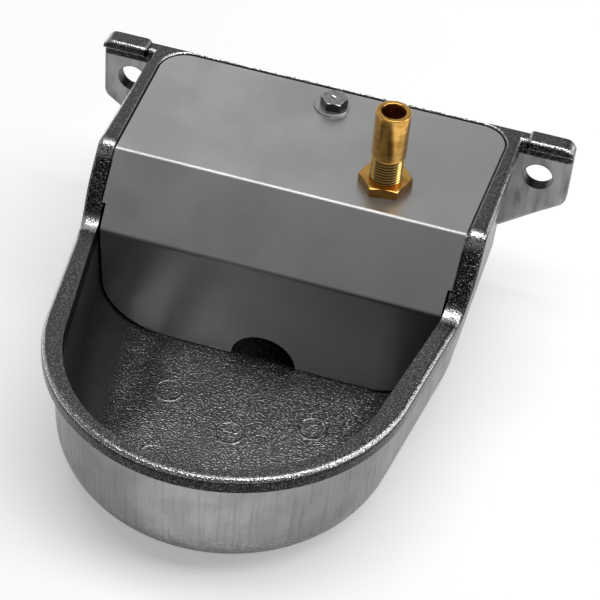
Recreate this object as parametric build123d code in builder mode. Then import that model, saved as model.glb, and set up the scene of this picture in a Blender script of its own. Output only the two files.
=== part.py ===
from build123d import *
import os
from math import acos, atan2, cos, hypot, radians, sin, tan

os.makedirs("parts", exist_ok=True)

# Livestock drinking bowl with a float valve, millimetres.
# +Z is up, +Y points at the wall it hangs on, the origin is the centre of its base.

# ---------------------------------------------------------------- the casting
WALL_Y = 105.2            # back face, against the wall
FRONT_Y = -105.2          # foremost point of the rim
TOP_Z = 85.5              # top of the ears
COVER_Z = 83.0            # upper face of the cover
HOUSE_RIM_Z = 83.8        # rim of the float housing
RIM_FOOT_Z = 58.6         # rim where the housing's slope ends
RIM_FRONT_Z = 60.2        # rim at the front of the basin
BEND_Y = 34.0             # cover's upper bend
FOOT_Y = 11.4             # cover's lower bend
FOOT_Z = 57.5
SLOPE = (COVER_Z - FOOT_Z) / (BEND_Y - FOOT_Y)

RIM_HALF = 81.0           # half width over the rim of the housing
NOSE_Y = -32.3            # centre of the round front of the rim
NOSE_R = NOSE_Y - FRONT_Y
SHOULDER_Y = 24.0         # where the sides start to taper to the front
SHOULDER_R = 60.0
RIM_LIP = 3.4             # how far the rim stands out past the wall
RIM_DEPTH = 6.2           # height of the rim's bead
RIM_ROUND = 2.5
RIM_BENDS = [6, 9]        # side-view radii at the top and the foot of the slope
WALL_DROP = 2.0           # the walls end this far inside the rim's bead

BASIN_HALF = 72.6         # inside of the casting at the top
BASIN_SHOULDER_Y = 10.0
BASIN_Y = -37.0
BASIN_R = 63.7
BASIN_BACK = 100.0
FLOOR_Z = 5.0
WALL_DRAFT = 1.6          # degrees, outside
BASIN_DRAFT = 1.2
BASE_ROUND = 23.0         # outer rounding from the walls to the base
FLOOR_ROUND = 25.0        # inner one

SHEET = 1.0               # cover's sheet
SEAT_GAP = 0.5            # around the cover, in the recess that it lies in
SEAT_FRONT = 18.3
SEAT_DEPTH = 1.05
SEAT_Z = COVER_Z - SEAT_DEPTH
SEAT_ROUND = 1.4          # rounding of the rim's bead along the recess

EAR_HALF = 103.0
EAR_T = 5.4
EAR_EDGE = 2.4            # rounding of the ear's front edges
EAR_LOW = 54.8            # ear's lower outer corner
EAR_WEB = (92.7, 47.4)    # bend in its lower edge
EAR_ROOT_Z = 36.0
EAR_ROOT_X = 74.5         # inside the housing's wall
EAR_ROUND = 5.5
EAR_HOLE_X = 89.8
EAR_HOLE_Z = 66.8
EAR_HOLE_R = 6.2
EAR_LIP_X = 83.0          # inner end of the lip along the ear's top
EAR_LIP_Y = 7.9
EAR_LIP_Z = 5.0
EAR_LIP_ROUND = 2.1

PIN_MARK_R = 5.7          # ejector-pin marks on the floor
PIN_MARK_H = 0.4
PIN_MARKS = [(-30.5, -14.8), (30.5, -14.8), (0, -28.8), (-24.4, -51.3), (24.4, -51.3)]

BOLT_X = 1.6              # cover bolt, M6; it sits aside in its wide hole
BOLT_Y = 92.8
BOLT_R = 3.0
BOLT_LENGTH = 14.0
LUG_R = 8.5
LUG_DEPTH = 18.0
PLAY = 0.05               # between a screw and its hole
RISING = (Align.CENTER, Align.CENTER, Align.MIN)
HANGING = (Align.CENTER, Align.CENTER, Align.MAX)
BOLT_AF = 10.0
BOLT_HEAD = 4.0
BOLT_TURN = 8.0           # degrees
DIMPLE_R = 2.0
DIMPLE_DEPTH = 0.8
WASHER_X = 0.8
WASHER_HOLE_R = 4.0
WASHER_R = 7.5
WASHER_T = 0.9
HEAD_Z = COVER_Z + WASHER_T

# ---------------------------------------------------------------- the cover
COVER_FRONT_HALF = 72.8   # half width at the upper bend
COVER_BACK_HALF = 74.8
COVER_WIDEST_Y = 92.0
COVER_BACK = 103.8
COVER_CORNER = 11.5
COVER_STEP_Z = 65.8       # below this the cover fits inside the basin
COVER_BENDS = [2.2, 3.0]  # inside radii of the upper and the lower bend
BAFFLE_HALF = 71.2        # at the step
BAFFLE_LOW_HALF = 70.4    # where its lower corners start
BAFFLE_FOOT_Y = 15.0
BAFFLE_CORNER_Z = 29.0    # where the baffle's side edges start to round in
BAFFLE_FLAT = 43.0        # half width of its straight lower edge
FOOT_GAP = 0.4
PASSAGE_R = 14.0          # half-round water passage

# ---------------------------------------------------------------- the inlet
STEM_X = 34.8
STEM_Y = 52.0
TAIL_R = 7.0
TAIL_LOW = 98.2
TAIL_TAPER = 1.2          # height of the chamfer at the hose end
TAIL_CHAMFER = 1.0
STEM_TOP = 119.6
THREAD_R = 6.58           # G1/4
STEM_LOW = 68.0
STEM_BORE = 4.75
NUT_AF = 19.0
NUT_H = 4.4
NUT_TURN = 9.5            # degrees

SEAL_T = 1.5
SEAL_R = 11.5
STEM_SEAL_R = 6.48
STEM_SEAL_LAP = 0.5       # how far the ring reaches in past the bore
BODY_TOP = COVER_Z - SHEET - SEAL_T
BODY_R = 10.0
BODY_AF = 18.0
BODY_SOCKET_Z = 66.5
BODY_WAIST_R = 8.6
BODY_LOW = 46.0
CHAMBER_TOP = 60.0
CHAMBER_R = 5.5
OUTLET_W = 6.0
OUTLET_H = 6.0
FLAT_DEPTH = 9.0
NOZZLE_R = 4.0
NOZZLE_LIP = 0.8
ORIFICE_R = 1.6
NOZZLE_LOW = 58.8
PLUNGER_TOP = 56.0
PLUNGER_LOW = 42.0
PLUNGER_R = 5.42
PLUNGER_FOOT_R = 3.0
FLUTES = 4
FLUTE_R = 1.3
DISC_R = 4.0
DISC_T = 2.4
DISC_LOW = PLUNGER_TOP - 2.0

PIN_OUT = 9.0             # lever's pivot, measured from the stem
PIN_X = STEM_X + PIN_OUT
PIN_Z = 38.0
PIN_R = 2.0
PIN_REACH = 9.2
PIN_HEAD = 1.2
CHEEK_GAP = 8.4
CHEEK_T = 2.6
CHEEK_R = 4.6
CHEEK_TOP = 58.0
CHEEK_BACK = 2.0
SPLIT_R = 0.6
SPLIT_Y = STEM_Y + PIN_REACH - 1.6
SPLIT_EYE_R = 1.5
SPLIT_SPREAD = 1.0

# ---------------------------------------------------------------- lever, float
ARM_W = 8.0
ARM_T = 2.4
ARM_Z = 34.2              # underside of the lever
ARM_TOP = ARM_Z + ARM_T
EYE_R = 4.0
ARM_END = -35.0
LEVEL_R = 2.0             # M4 level screw
LEVEL_TIP = 41.7
LEVEL_HEAD_R = 3.5
LEVEL_HEAD = 1.8
LEVEL_NUT_AF = 7.0
LEVEL_NUT_H = 2.4
SLOT_W = 0.9
FLOAT_SCREW_R = 2.5       # M5 screw in the float's insert
FLOAT_SCREW_AF = 8.0
FLOAT_SCREW_HEAD = 3.5
FLOAT_SCREW_LENGTH = 12.4
SCREW_PLAY = 0.2
FLOAT_WASHER_R = 4.6
FLOAT_WASHER_T = 1.0
INSERT_R = 4.0
INSERT_DEPTH = 11.0
FLOAT_X = -28.0
FLOAT_L = 52.0
FLOAT_W = 58.0
FLOAT_LOW = 5.6
FLOAT_CORNER = 15.0
FLOAT_ROUND = 6.0
FLOAT_WALL = 1.8
FLOAT_SEAM_Z = 20.0
SEAM_OUT = 1.0            # the weld stands out this far
FLOAT_BOSS_R = 6.5


def tangent_point(shoulder_x, shoulder_y, centre_y, radius):
    """Point where a line from the shoulder touches the round front."""
    reach = hypot(shoulder_x, shoulder_y - centre_y)
    turn = atan2(shoulder_y - centre_y, shoulder_x) - acos(radius / reach)
    return radius * cos(turn), centre_y + radius * sin(turn)


def bowl_outline(half, shoulder_y, centre_y, radius, back_y):
    """Plan of the bowl: square back, straight sides, tapered cheeks, round front."""
    touch_x, touch_y = tangent_point(half, shoulder_y, centre_y, radius)
    with BuildSketch(Plane.XY) as plan:
        with BuildLine() as outline:
            Polyline((0, back_y), (half, back_y), (half, shoulder_y), (touch_x, touch_y))
            ThreePointArc(
                (touch_x, touch_y),
                (radius * sin(radians(40)), centre_y - radius * cos(radians(40))),
                (0, centre_y - radius),
            )
            mirror(outline.line, about=Plane.YZ)
        make_face()
        fillet([v for v in plan.vertices() if abs(v.Y - shoulder_y) < 0.01], SHOULDER_R)
    return plan.sketch


def rim_line(drop):
    """Side view of the rim's top, lowered by drop: level, slope, then the low front rim."""
    return [
        (WALL_Y + 1, HOUSE_RIM_Z - drop),
        (BEND_Y + 1.2 - 0.42 * drop, HOUSE_RIM_Z - drop),
        (FOOT_Y + 0.6 - 0.42 * drop, RIM_FOOT_Z - drop),
        (FRONT_Y - 1, RIM_FRONT_Z - drop),
    ]


def on_side(edge):
    """True for an edge that runs along the outside of the rim."""
    middle = edge.center()
    return abs(middle.X) > 60 or middle.Y < -60


def beside_seat(edge):
    """True for the upper edges of the recess along the housing's sides."""
    middle = edge.center()
    side = COVER_FRONT_HALF < abs(middle.X) < COVER_BACK_HALF + 2 * SEAT_GAP
    seat_z = min(SEAT_Z, FOOT_Z - SEAT_DEPTH + SLOPE * (middle.Y - FOOT_Y))
    return side and middle.Y > SEAT_FRONT + 1 and middle.Z > seat_z + 0.5


def lid_outline(gap):
    """Plan of the cover, widened all round by gap: wider at the back, two round corners."""
    front = COVER_FRONT_HALF + gap
    back = COVER_BACK_HALF + gap
    with BuildSketch(Plane.XY) as plan:
        Polygon(
            (-front, 0),
            (front, 0),
            (front, BEND_Y),
            (back, COVER_WIDEST_Y),
            (back, COVER_BACK + gap),
            (-back, COVER_BACK + gap),
            (-back, COVER_WIDEST_Y),
            (-front, BEND_Y),
            align=None,
        )
        fillet(plan.vertices().group_by(Axis.Y)[-1], COVER_CORNER + gap)
    return plan.sketch


def hex_cone(half_flat, low, height):
    """Section that turns a hexagon's upper corners off at 30 degrees."""
    return [
        (0, low),
        (2 * half_flat, low),
        (2 * half_flat, low + height - half_flat * tan(radians(30))),
        (half_flat, low + height),
        (0, low + height),
    ]


def keep(part, name):
    """Label a finished piece and write its file."""
    part.part.label = name
    export_step(part.part, f"parts/{name}.step")


# Rolled rim: a slab with the rim's side view and the bowl's outline, open over the recess
# for the cover, its outer and inner edges rounded to a bead.
with BuildPart() as rim:
    with BuildSketch(Plane.XY):
        add(bowl_outline(RIM_HALF, SHOULDER_Y, NOSE_Y, NOSE_R, WALL_Y))
    extrude(amount=TOP_Z)
    with BuildSketch(Plane.YZ):
        with BuildLine():
            upper = FilletPolyline(rim_line(0), radius=RIM_BENDS)
            lower = FilletPolyline(rim_line(RIM_DEPTH), radius=RIM_BENDS)
            Line(upper @ 0, lower @ 0)
            Line(upper @ 1, lower @ 1)
        make_face()
    extrude(amount=RIM_HALF + 5, both=True, mode=Mode.INTERSECT)
    crest = [e for f in faces() if f.normal_at().Z > 0.3 for e in f.edges() if on_side(e)]
    fillet(crest, RIM_ROUND)
    with BuildSketch(Plane.XY):
        add(lid_outline(SEAT_GAP))
        with Locations((0, SEAT_FRONT / 2)):
            Rectangle(2 * RIM_HALF, SEAT_FRONT, mode=Mode.SUBTRACT)
    extrude(amount=TOP_Z, mode=Mode.SUBTRACT)
    fillet([e for e in edges() if beside_seat(e)], SEAT_ROUND)

# Inside of the casting: basin and float chamber in one hollow.
with BuildPart() as hollow:
    with BuildSketch(Plane.XY.offset(TOP_Z + 1)):
        add(bowl_outline(BASIN_HALF, BASIN_SHOULDER_Y, BASIN_Y, BASIN_R, BASIN_BACK))
    extrude(amount=FLOOR_Z - TOP_Z - 1, taper=BASIN_DRAFT)
    floor_edges = faces().sort_by(Axis.Z)[0].edges().filter_by(lambda e: e.center().Y < 90)
    fillet(floor_edges, FLOOR_ROUND)

# Recess for the cover's sheet: lid and sloping front.
with BuildPart() as seat:
    with BuildSketch(Plane.XY):
        add(lid_outline(SEAT_GAP))
    extrude(amount=TOP_Z + 1)
    with BuildSketch(Plane.YZ):
        Polygon(
            (WALL_Y, SEAT_Z),
            (WALL_Y, TOP_Z + 1),
            (SEAT_FRONT, TOP_Z + 1),
            (SEAT_FRONT, FOOT_Z - 1.5 * SEAT_DEPTH + SLOPE * (SEAT_FRONT - FOOT_Y)),
            (BEND_Y, COVER_Z - 1.6 * SEAT_DEPTH),
            (BEND_Y + 1.5, SEAT_Z),
            align=None,
        )
    extrude(amount=RIM_HALF, both=True, mode=Mode.INTERSECT)

# Wall ear: plate with rounded front edges, and the lip along its top.
with BuildPart() as ear:
    with BuildSketch(Plane.XZ.offset(-WALL_Y)) as ear_face:
        Polygon(
            (EAR_ROOT_X, HOUSE_RIM_Z),
            (EAR_HALF, HOUSE_RIM_Z),
            (EAR_HALF, EAR_LOW),
            EAR_WEB,
            (RIM_HALF - 3, EAR_ROOT_Z),
            (EAR_ROOT_X, EAR_ROOT_Z),
            align=None,
        )
        fillet(ear_face.vertices().group_by(Axis.X)[-1], EAR_ROUND)
    extrude(amount=EAR_T)
    front_edges = faces().sort_by(Axis.Y)[0].edges()
    fillet(front_edges.filter_by(lambda e: e.center().X > EAR_ROOT_X + 3), EAR_EDGE)

with BuildPart() as ear_lip:
    with BuildSketch(Plane.XZ.offset(-WALL_Y)) as lip_face:
        with Locations(((EAR_LIP_X + EAR_HALF) / 2, TOP_Z - EAR_LIP_Z / 2)):
            Rectangle(EAR_HALF - EAR_LIP_X, EAR_LIP_Z)
        fillet(lip_face.vertices().group_by(Axis.X)[-1].sort_by(Axis.Y)[-1], EAR_LIP_Z - 0.2)
    extrude(amount=EAR_LIP_Y)
    inner_end = edges().filter_by(Axis.Y).group_by(Axis.X)[0].sort_by(Axis.Z)[-1]
    fillet([*faces().sort_by(Axis.Y)[0].edges(), inner_end], EAR_LIP_ROUND)

with BuildPart() as bowl:
    with BuildSketch(Plane.XY.offset(TOP_Z)):
        add(bowl_outline(RIM_HALF - RIM_LIP, SHOULDER_Y, NOSE_Y, NOSE_R - RIM_LIP, WALL_Y))
    extrude(amount=-TOP_Z, taper=WALL_DRAFT)
    base_edges = faces().sort_by(Axis.Z)[0].edges().filter_by(lambda e: e.center().Y < 95)
    fillet(base_edges, BASE_ROUND)
    # the walls end inside the rim's bead
    with BuildSketch(Plane.YZ):
        Polygon(*rim_line(WALL_DROP), (FRONT_Y - 1, -1), (WALL_Y + 1, -1), align=None)
    extrude(amount=RIM_HALF + 5, both=True, mode=Mode.INTERSECT)
    add(rim.part)
    # wall ears, then the hollow and the cover's recess
    for piece in (ear.part, ear_lip.part):
        add(piece)
        add(mirror(piece, about=Plane.YZ, mode=Mode.PRIVATE))
    add(hollow.part, mode=Mode.SUBTRACT)
    add(seat.part, mode=Mode.SUBTRACT)

# The lug is cut to the seat, drilled, and the ears are drilled.
with BuildPart() as lug:
    with BuildSketch(Plane.XY.offset(SEAT_Z)):
        with Locations((BOLT_X, BOLT_Y)):
            Circle(LUG_R)
    extrude(amount=-LUG_DEPTH, taper=4)
    with BuildSketch(Plane.XY.offset(SEAT_Z)):
        with Locations((BOLT_X, BOLT_Y + LUG_R / 2)):
            Rectangle(2 * LUG_R - 4, LUG_R)
    extrude(amount=-LUG_DEPTH, taper=4)

with bowl:
    add(lug.part)
    with Locations((BOLT_X, BOLT_Y, SEAT_Z)):
        Hole(radius=BOLT_R + PLAY, depth=BOLT_LENGTH + 1)
    with Locations(Plane.XZ.offset(-WALL_Y)):
        with Locations((EAR_HOLE_X, EAR_HOLE_Z), (-EAR_HOLE_X, EAR_HOLE_Z)):
            Hole(radius=EAR_HOLE_R, depth=EAR_T + 3)
    with BuildSketch(Plane.XY.offset(FLOOR_Z - 1)):
        with Locations(*PIN_MARKS):
            Circle(PIN_MARK_R)
    extrude(amount=1 + PIN_MARK_H)

keep(bowl, "bowl")

# Cover: one folded sheet, drawn from the side, then trimmed from above and from the front.
with BuildPart() as front_trim:
    with BuildSketch(Plane.XZ.offset(-BEND_Y)) as front:
        with Locations((0, COVER_Z / 2)):
            Rectangle(4 * COVER_BACK_HALF, 2 * COVER_Z)
        with BuildLine() as half_front:
            Line((0, TOP_Z), (0, FLOOR_Z + FOOT_GAP))
            Line((0, FLOOR_Z + FOOT_GAP), (BAFFLE_FLAT, FLOOR_Z + FOOT_GAP))
            EllipticalCenterArc(
                (BAFFLE_FLAT, BAFFLE_CORNER_Z),
                BAFFLE_LOW_HALF - BAFFLE_FLAT,
                BAFFLE_CORNER_Z - FLOOR_Z - FOOT_GAP,
                start_angle=270,
                arc_size=90,
            )
            Polyline(
                (BAFFLE_LOW_HALF, BAFFLE_CORNER_Z),
                (BAFFLE_HALF, COVER_STEP_Z),
                (COVER_BACK_HALF + 3, COVER_STEP_Z),
                (COVER_BACK_HALF + 3, TOP_Z),
                (0, TOP_Z),
            )
        outline_half = make_face(mode=Mode.SUBTRACT)
        mirror(outline_half, about=Plane.YZ, mode=Mode.SUBTRACT)
        with Locations((0, FLOOR_Z)):
            Circle(PASSAGE_R)
    extrude(amount=BEND_Y)

with BuildPart() as cover:
    with BuildSketch(Plane.YZ):
        with BuildLine() as fold:
            FilletPolyline(
                (COVER_BACK, COVER_Z),
                (BEND_Y, COVER_Z),
                (FOOT_Y, FOOT_Z),
                (BAFFLE_FOOT_Y, FLOOR_Z + FOOT_GAP),
                radius=COVER_BENDS,
            )
            offset(amount=SHEET, side=Side.LEFT)
        make_face()
    extrude(amount=COVER_BACK_HALF + 1, both=True)
    with BuildSketch(Plane.XY):
        add(lid_outline(0))
    extrude(amount=TOP_Z, mode=Mode.INTERSECT)
    add(front_trim.part, mode=Mode.SUBTRACT)
    with Locations((BOLT_X, BOLT_Y, COVER_Z)):
        Hole(radius=BOLT_R + 2 * SCREW_PLAY, depth=3 * SHEET)
    with Locations((STEM_X, STEM_Y, COVER_Z)):
        Hole(radius=THREAD_R + SCREW_PLAY, depth=3 * SHEET)
keep(cover, "cover")

# Cover bolt: M6 hex head with a dimple, over a plain washer.
with BuildPart() as cover_bolt_washer:
    with Locations((WASHER_X, BOLT_Y, COVER_Z)):
        Cylinder(WASHER_R, WASHER_T, align=RISING)
        Hole(radius=WASHER_HOLE_R)
keep(cover_bolt_washer, "cover_bolt_washer")

with BuildPart() as cover_bolt:
    with BuildSketch(Plane.XY.offset(HEAD_Z)):
        RegularPolygon(BOLT_AF / 2, 6, major_radius=False, rotation=BOLT_TURN)
    extrude(amount=BOLT_HEAD)
    with BuildSketch(Plane.XZ):
        Polygon(*hex_cone(BOLT_AF / 2, HEAD_Z, BOLT_HEAD), align=None)
    revolve(axis=Axis.Z, mode=Mode.INTERSECT)
    with Locations((0, 0, HEAD_Z)):
        Cylinder(BOLT_R, BOLT_LENGTH + WASHER_T, align=HANGING)
    with Locations((0, 0, HEAD_Z + BOLT_HEAD + DIMPLE_R - DIMPLE_DEPTH)):
        Sphere(DIMPLE_R, mode=Mode.SUBTRACT)
cover_bolt.part.position = (BOLT_X, BOLT_Y, 0)
keep(cover_bolt, "cover_bolt")

# Brass inlet: plain hose tail above, pipe thread below.
with BuildPart() as inlet_stem:
    with BuildSketch(Plane.XZ):
        Polygon(
            (STEM_BORE, STEM_LOW),
            (THREAD_R, STEM_LOW),
            (THREAD_R, TAIL_LOW),
            (TAIL_R, TAIL_LOW),
            (TAIL_R, STEM_TOP - TAIL_TAPER),
            (TAIL_R - TAIL_CHAMFER, STEM_TOP),
            (STEM_BORE, STEM_TOP),
            align=None,
        )
    revolve(axis=Axis.Z)
inlet_stem.part.position = (STEM_X, STEM_Y, 0)
keep(inlet_stem, "inlet_stem")

# Lock nut above the cover; its upper corners are turned off at 30 degrees.
with BuildPart() as lock_nut:
    with BuildSketch(Plane.XY.offset(COVER_Z)):
        RegularPolygon(NUT_AF / 2, 6, major_radius=False, rotation=NUT_TURN)
        Circle(THREAD_R + PLAY, mode=Mode.SUBTRACT)
    extrude(amount=NUT_H)
    with BuildSketch(Plane.XZ):
        Polygon(*hex_cone(NUT_AF / 2, COVER_Z, NUT_H), align=None)
    revolve(axis=Axis.Z, mode=Mode.INTERSECT)
lock_nut.part.position = (STEM_X, STEM_Y, 0)
keep(lock_nut, "lock_nut")

# Rubber washer between the cover and the valve body.
with BuildPart() as cover_seal:
    with Locations((0, 0, BODY_TOP)):
        Cylinder(SEAL_R, SEAL_T, align=RISING)
        Hole(radius=THREAD_R + PLAY)
cover_seal.part.position = (STEM_X, STEM_Y, 0)
keep(cover_seal, "cover_seal")

# Flat ring that seals the end of the stem in the socket.
with BuildPart() as stem_seal:
    with Locations((0, 0, BODY_SOCKET_Z)):
        Cylinder(STEM_SEAL_R, STEM_LOW - BODY_SOCKET_Z, align=RISING)
        Hole(radius=STEM_BORE - STEM_SEAL_LAP)
stem_seal.part.position = (STEM_X, STEM_Y, 0)
keep(stem_seal, "stem_seal")

# Valve body: threaded socket, nozzle seat, water chamber with two outlets, and a fork.
with BuildPart() as valve_body:
    with BuildSketch(Plane.XZ):
        Polygon(
            (0, BODY_LOW),
            (BODY_WAIST_R, BODY_LOW),
            (BODY_WAIST_R, BODY_SOCKET_Z - 4),
            (BODY_R, BODY_SOCKET_Z - 2.5),
            (BODY_R, BODY_TOP),
            (0, BODY_TOP),
            align=None,
        )
    revolve(axis=Axis.Z)
    # wrench flats
    with BuildSketch(Plane.XY.offset(BODY_TOP)):
        Rectangle(4 * BODY_R, 4 * BODY_R)
        Rectangle(4 * BODY_R, BODY_AF, mode=Mode.SUBTRACT)
    extrude(amount=-FLAT_DEPTH, mode=Mode.SUBTRACT)
    # two cheeks that carry the lever's pin
    with BuildSketch(Plane.XZ.offset(-CHEEK_GAP / 2 - CHEEK_T)):
        with BuildLine():
            Polyline(
                (PIN_OUT + CHEEK_R, PIN_Z),
                (PIN_OUT + CHEEK_R, BODY_LOW + 2),
                (BODY_WAIST_R - 2, CHEEK_TOP),
                (-CHEEK_BACK, CHEEK_TOP),
                (-CHEEK_BACK, BODY_LOW),
                (PIN_OUT - CHEEK_R, BODY_LOW - 1.5),
                (PIN_OUT - CHEEK_R, PIN_Z),
            )
            ThreePointArc(
                (PIN_OUT - CHEEK_R, PIN_Z),
                (PIN_OUT, PIN_Z - CHEEK_R),
                (PIN_OUT + CHEEK_R, PIN_Z),
            )
        make_face()
    extrude(amount=CHEEK_GAP + 2 * CHEEK_T)
    with Locations((PIN_OUT, 0, BODY_LOW)):
        Box(4 * BODY_R, CHEEK_GAP, BODY_LOW - PIN_Z + 2 * CHEEK_R, align=HANGING, mode=Mode.SUBTRACT)
    # bores: socket, nozzle, chamber
    with Locations((0, 0, BODY_TOP)):
        Hole(radius=THREAD_R + PLAY, depth=BODY_TOP - BODY_SOCKET_Z)
        Hole(radius=NOZZLE_R + PLAY, depth=BODY_TOP - CHAMBER_TOP + 1)
    with Locations((0, 0, CHAMBER_TOP)):
        Hole(radius=CHAMBER_R, depth=CHAMBER_TOP - BODY_LOW + 1)
    # outlets through the chamber's sides
    with Locations((0, 0, CHAMBER_TOP)):
        Box(OUTLET_W, 4 * BODY_R, OUTLET_H, align=HANGING, mode=Mode.SUBTRACT)
    with Locations((PIN_OUT, 0, PIN_Z)):
        Cylinder(PIN_R + PLAY, 4 * BODY_R, rotation=(90, 0, 0), mode=Mode.SUBTRACT)
valve_body.part.position = (STEM_X, STEM_Y, 0)
keep(valve_body, "valve_body")

# Plastic nozzle: its coned lip is what the disc shuts against.
with BuildPart() as valve_seat:
    with BuildSketch(Plane.XZ):
        Polygon(
            (ORIFICE_R, NOZZLE_LOW),
            (ORIFICE_R + NOZZLE_LIP, NOZZLE_LOW),
            (NOZZLE_R - NOZZLE_LIP, CHAMBER_TOP),
            (NOZZLE_R, CHAMBER_TOP),
            (NOZZLE_R, BODY_SOCKET_Z),
            (ORIFICE_R + 1.2, BODY_SOCKET_Z),
            (ORIFICE_R, BODY_SOCKET_Z - 2),
            align=None,
        )
    revolve(axis=Axis.Z)
valve_seat.part.position = (STEM_X, STEM_Y, 0)
keep(valve_seat, "valve_seat")

# Plastic plunger with a narrow foot; four flutes let the water past.
with BuildPart() as plunger:
    with BuildSketch(Plane.XZ):
        Polygon(
            (0, PLUNGER_LOW),
            (PLUNGER_FOOT_R, PLUNGER_LOW),
            (PLUNGER_FOOT_R, BODY_LOW + 1),
            (PLUNGER_R, BODY_LOW + 2.5),
            (PLUNGER_R, PLUNGER_TOP),
            (DISC_R, PLUNGER_TOP),
            (DISC_R, DISC_LOW),
            (0, DISC_LOW),
            align=None,
        )
    revolve(axis=Axis.Z)
    with BuildSketch(Plane.XY.offset(PLUNGER_TOP)):
        with PolarLocations(CHAMBER_R + 0.4, FLUTES, start_angle=45):
            Circle(FLUTE_R)
    extrude(amount=PLUNGER_LOW - PLUNGER_TOP, mode=Mode.SUBTRACT)
plunger.part.position = (STEM_X, STEM_Y, 0)
keep(plunger, "plunger")

with BuildPart() as seal_disc:
    with Locations((0, 0, DISC_LOW)):
        Cylinder(DISC_R - PLAY, DISC_T, align=RISING)
seal_disc.part.position = (STEM_X, STEM_Y, 0)
keep(seal_disc, "seal_disc")

# Lever: flat bar with an eye for the pin.
with BuildPart() as float_arm:
    with BuildSketch(Plane.XZ.offset(-STEM_Y - ARM_W / 2)):
        Polygon(
            (PIN_X, ARM_Z),
            (ARM_END, ARM_Z),
            (ARM_END, ARM_TOP),
            (PIN_X, ARM_TOP),
            align=None,
        )
        with Locations((PIN_X, PIN_Z)):
            Circle(EYE_R)
            Circle(PIN_R + PLAY, mode=Mode.SUBTRACT)
    extrude(amount=ARM_W)
    fillet(edges().filter_by(Axis.Z).group_by(Axis.X)[0], ARM_W / 2 - 0.5)
    with Locations((STEM_X, STEM_Y, ARM_TOP)):
        Hole(radius=LEVEL_R + PLAY, depth=2 * ARM_T)
    with Locations((FLOAT_X, STEM_Y, ARM_TOP)):
        Hole(radius=FLOAT_SCREW_R + SCREW_PLAY, depth=2 * ARM_T)
keep(float_arm, "float_arm")

# Pin with a flat head on one side and a cross hole at the other end.
with BuildPart() as hinge_pin:
    with Locations(Location((PIN_X, STEM_Y, PIN_Z), (90, 0, 0))):
        Cylinder(PIN_R, 2 * PIN_REACH)
    with Locations(Location((PIN_X, STEM_Y - PIN_REACH, PIN_Z), (90, 0, 0))):
        Cylinder(PIN_R + PIN_HEAD, PIN_HEAD, align=RISING)
    with Locations((PIN_X, SPLIT_Y, PIN_Z)):
        Cylinder(SPLIT_R + PLAY, 4 * PIN_R, mode=Mode.SUBTRACT)
keep(hinge_pin, "hinge_pin")

# Split pin: eye above, a shank through the pin, its two tips bent apart below.
with BuildPart() as split_pin:
    with BuildSketch(Plane.XZ.offset(-SPLIT_Y - SPLIT_R)):
        with Locations((PIN_X, PIN_Z + PIN_R + SPLIT_EYE_R + SPLIT_R)):
            Circle(SPLIT_EYE_R + SPLIT_R)
            Circle(SPLIT_EYE_R - SPLIT_R, mode=Mode.SUBTRACT)
    extrude(amount=2 * SPLIT_R)
    with Locations((PIN_X, SPLIT_Y, PIN_Z + PIN_R + 2 * SPLIT_R)):
        Cylinder(SPLIT_R, 2 * PIN_R + 4 * SPLIT_R, align=HANGING)
    for side in (-1, 1):
        tip = (PIN_X + side * SPLIT_SPREAD, SPLIT_Y, PIN_Z - PIN_R - 3 * SPLIT_R)
        with Locations(Location(tip, (0, -side * 55, 0))):
            Cylinder(SPLIT_R * 0.7, 5 * SPLIT_R)
keep(split_pin, "split_pin")

# Level screw: slotted head under the lever, round tip under the plunger; its lock nut.
with BuildPart() as level_screw:
    with Locations((STEM_X, STEM_Y, ARM_Z)):
        Cylinder(LEVEL_HEAD_R, LEVEL_HEAD, align=HANGING)
    with Locations((STEM_X, STEM_Y, ARM_Z - LEVEL_HEAD)):
        Box(3 * LEVEL_HEAD_R, SLOT_W, LEVEL_HEAD, mode=Mode.SUBTRACT)
    with Locations((STEM_X, STEM_Y, ARM_Z)):
        Cylinder(LEVEL_R, LEVEL_TIP - ARM_Z, align=RISING)
    chamfer(faces().sort_by(Axis.Z)[-1].edges(), LEVEL_R / 2)
keep(level_screw, "level_screw")

with BuildPart() as level_nut:
    with BuildSketch(Plane.XY.offset(ARM_TOP)):
        with Locations((STEM_X, STEM_Y)):
            RegularPolygon(LEVEL_NUT_AF / 2, 6, major_radius=False)
            Circle(LEVEL_R + PLAY, mode=Mode.SUBTRACT)
    extrude(amount=LEVEL_NUT_H)
keep(level_nut, "level_nut")

# Hollow float in two shells that meet at a welded seam; the upper one has a boss inside.
with BuildPart() as float_solid:
    with BuildSketch(Plane.XY.offset(FLOAT_LOW)):
        RectangleRounded(FLOAT_L, FLOAT_W, FLOAT_CORNER)
    extrude(amount=ARM_Z - FLOAT_LOW)
    fillet(faces().filter_by(Axis.Z).edges(), FLOAT_ROUND)

with BuildPart() as float_core:
    with BuildSketch(Plane.XY.offset(FLOAT_LOW + FLOAT_WALL)):
        RectangleRounded(
            FLOAT_L - 2 * FLOAT_WALL, FLOAT_W - 2 * FLOAT_WALL, FLOAT_CORNER - FLOAT_WALL
        )
    extrude(amount=ARM_Z - FLOAT_LOW - 2 * FLOAT_WALL)
    chamfer(faces().filter_by(Axis.Z).edges(), FLOAT_ROUND / 2)

with BuildPart() as float_seam:
    with BuildSketch(Plane.XY.offset(FLOAT_SEAM_Z - SEAM_OUT)):
        RectangleRounded(
            FLOAT_L + 2 * SEAM_OUT, FLOAT_W + 2 * SEAM_OUT, FLOAT_CORNER + SEAM_OUT
        )
    extrude(amount=2 * SEAM_OUT)

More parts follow.
